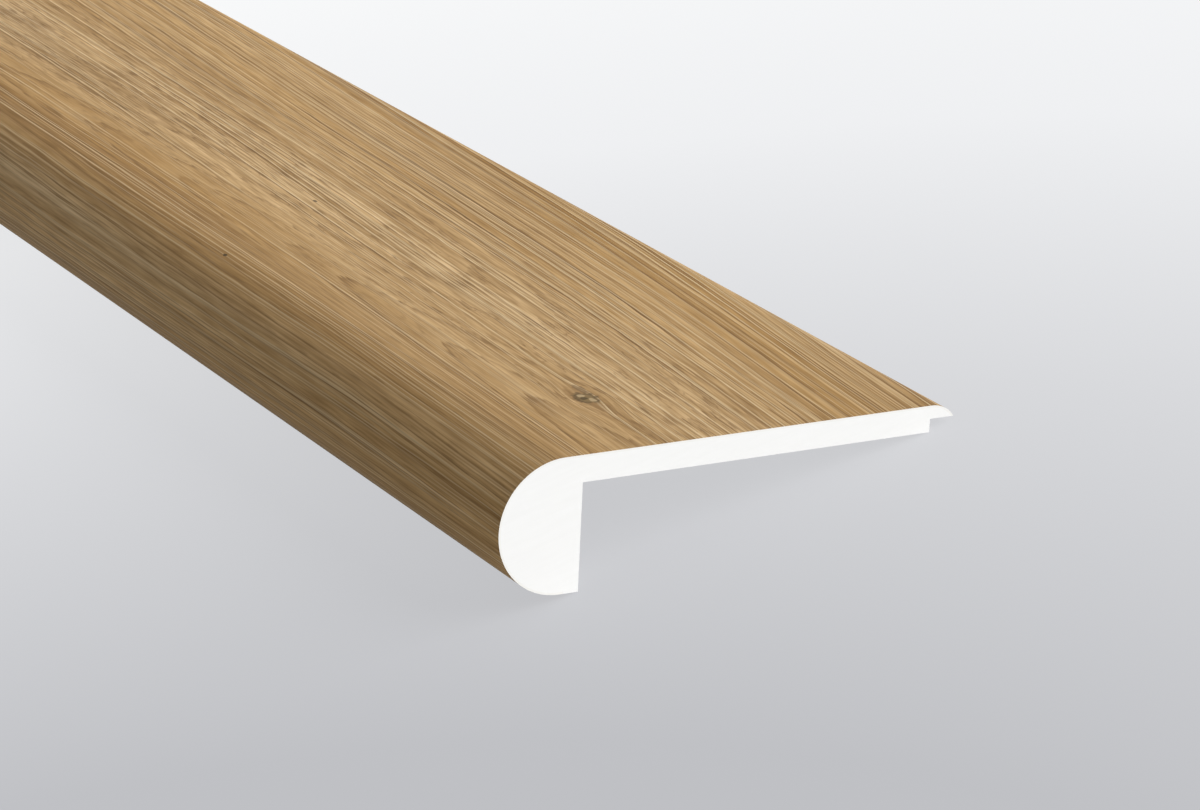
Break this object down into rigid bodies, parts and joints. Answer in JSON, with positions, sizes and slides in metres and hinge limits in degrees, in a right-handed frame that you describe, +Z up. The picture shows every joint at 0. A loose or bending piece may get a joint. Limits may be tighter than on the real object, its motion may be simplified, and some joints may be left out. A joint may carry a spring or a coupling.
{
  "type": "overlapping stair nosing",
  "caption": "Long stair-edge moulding with a half-round nose, a flat plate glued to the tread and a thin rear lip that laps over the flooring; oak-print film on a white core.",
  "frame": {"origin": "on the floor, under the middle of the part's box as it lies", "axes": "+X along the length, -Y towards the rounded nose, +Z up; the part lies as it rests on a floor, tipped back about 15.8 degrees from its fitted position"},
  "size_m": [2.3876, 0.0696, 0.0194],
  "materials": {
    "white_pvc": "matte",
    "oak_print_film": "satin"
  },
  "bodies": {
    "root": {"core_moulding": "white_pvc", "decor_film": "oak_print_film"}
  },
  "joints": []
}
